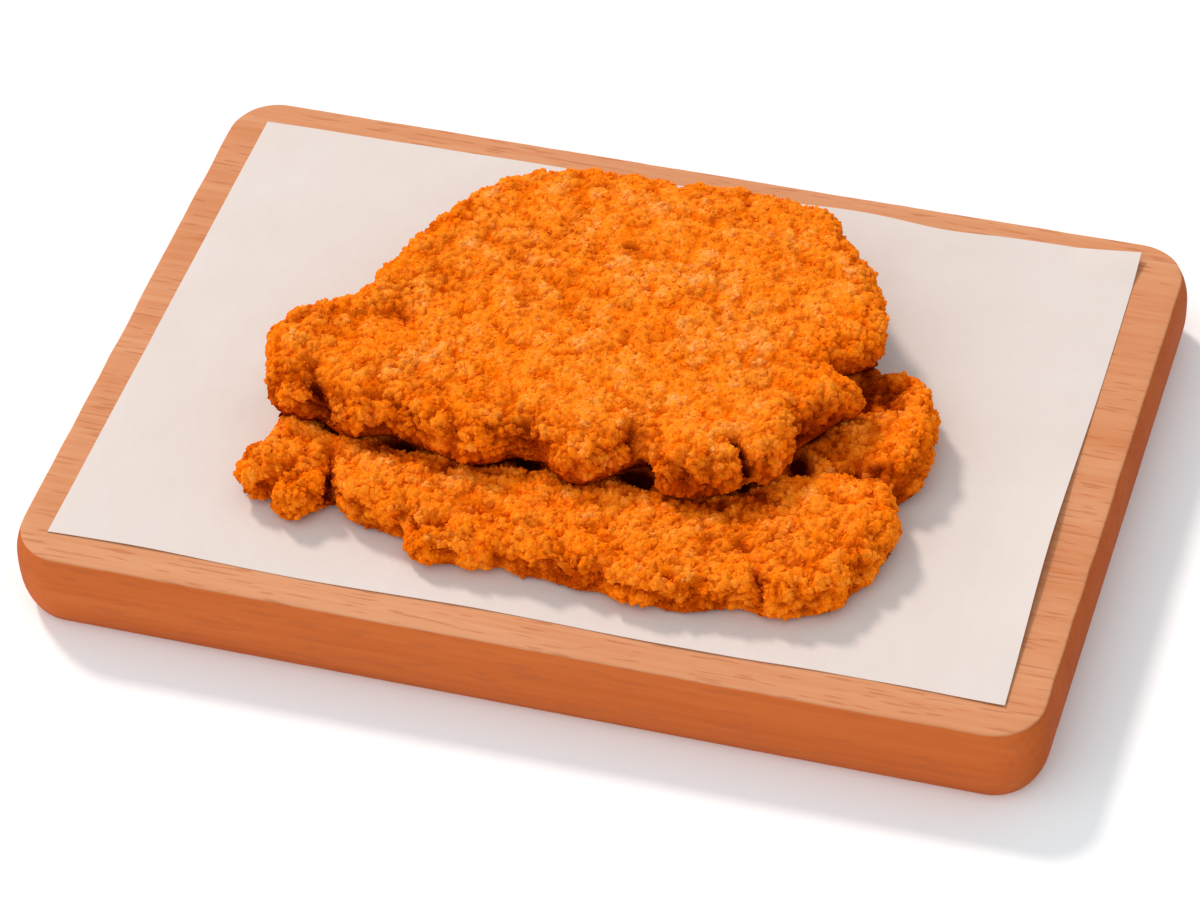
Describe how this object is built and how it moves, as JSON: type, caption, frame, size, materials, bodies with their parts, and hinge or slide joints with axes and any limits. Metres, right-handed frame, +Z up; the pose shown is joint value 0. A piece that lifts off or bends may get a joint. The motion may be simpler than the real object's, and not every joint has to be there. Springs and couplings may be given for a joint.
{
  "type": "breaded schnitzel",
  "caption": "Crumbed, fried schnitzel slabs stacked on greaseproof paper, served on a thick beech board with rounded corners.",
  "frame": {"origin": "middle of the board's underside", "axes": "+X along the board's length, +Y towards its back, +Z up through the food"},
  "size_m": [0.3038, 0.2104, 0.0546],
  "materials": {
    "beech": "oiled beech, satin",
    "greaseproof": "matte greaseproof paper, slightly mottled",
    "crumb_lower": null,
    "crumb_upper": null
  },
  "bodies": {
    "root": {"board": "beech", "paper": "greaseproof", "schnitzel_lower": "crumb_lower", "schnitzel_upper": "crumb_upper"}
  },
  "joints": []
}
